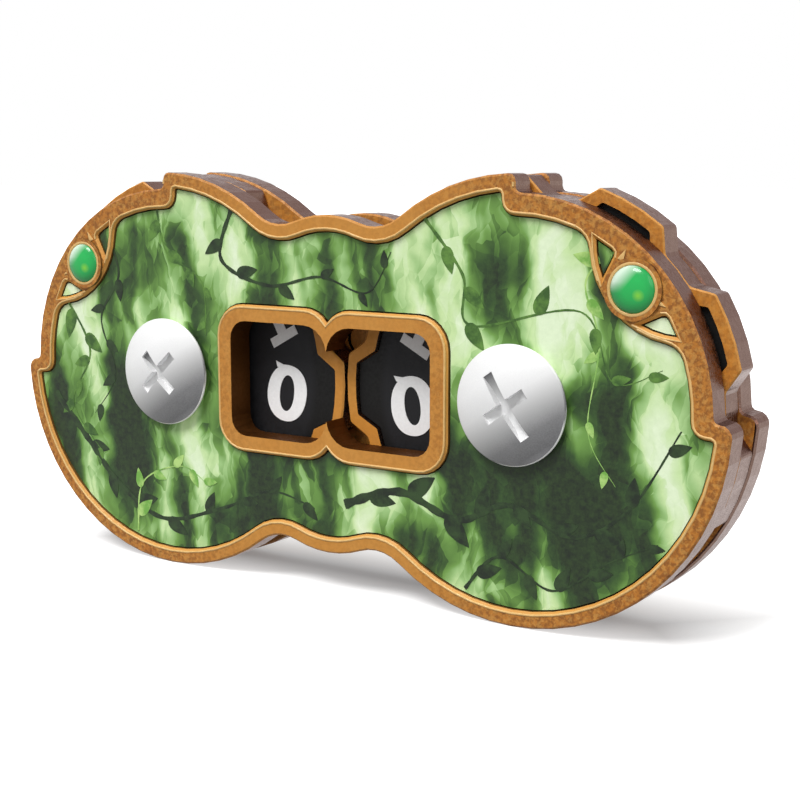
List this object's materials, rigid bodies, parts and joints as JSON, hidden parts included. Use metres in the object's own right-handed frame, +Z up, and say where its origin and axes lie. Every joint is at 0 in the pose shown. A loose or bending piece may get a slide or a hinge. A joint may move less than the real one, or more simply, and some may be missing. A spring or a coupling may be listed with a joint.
{
  "type": "life counter",
  "caption": "Hand-held dial life counter: lobed number dials turned from the edge, between figure-eight shells with a double window, gem mounts and large domed screws.",
  "frame": {"origin": "on the surface it stands on, under the middle of the object: half way between the two dial axes and half way through the thickness", "axes": "+X to the right as seen from the front, -Y out of the front, +Z up"},
  "size_m": [0.09, 0.012, 0.045],
  "materials": {
    "copper": "antique copper paint, mottled",
    "print": "printed, satin",
    "gem": "polished",
    "disc": "matt",
    "screw": "satin",
    "nylon": "natural",
    "washer": "matt"
  },
  "bodies": {
    "housing": {"front_shell": "copper", "back_shell": "copper", "art_panel": "print", "left_upper_inlay": "print", "left_lower_inlay": "print", "right_upper_inlay": "print", "right_lower_inlay": "print", "left_gem": "gem", "right_gem": "gem", "left_screw": "screw", "right_screw": "screw", "left_barrel_nut": "screw", "right_barrel_nut": "screw", "left_bush": "nylon", "right_bush": "nylon", "left_friction_washer": "washer", "right_friction_washer": "washer", "centre_stud": "copper"},
    "left_wheel": {"left_dial": "copper", "left_number_disc": "disc"},
    "right_wheel": {"right_dial": "copper", "right_number_disc": "disc"}
  },
  "joints": [
    {"name": "left_dial_spin", "type": "hinge", "parent": "housing", "child": "left_wheel", "pos_m": [-0.0225, 0, 0.0225], "axis": [0, 1, 0], "continuous": true},
    {"name": "right_dial_spin", "type": "hinge", "parent": "housing", "child": "right_wheel", "pos_m": [0.0225, 0, 0.0225], "axis": [0, 1, 0], "continuous": true}
  ]
}
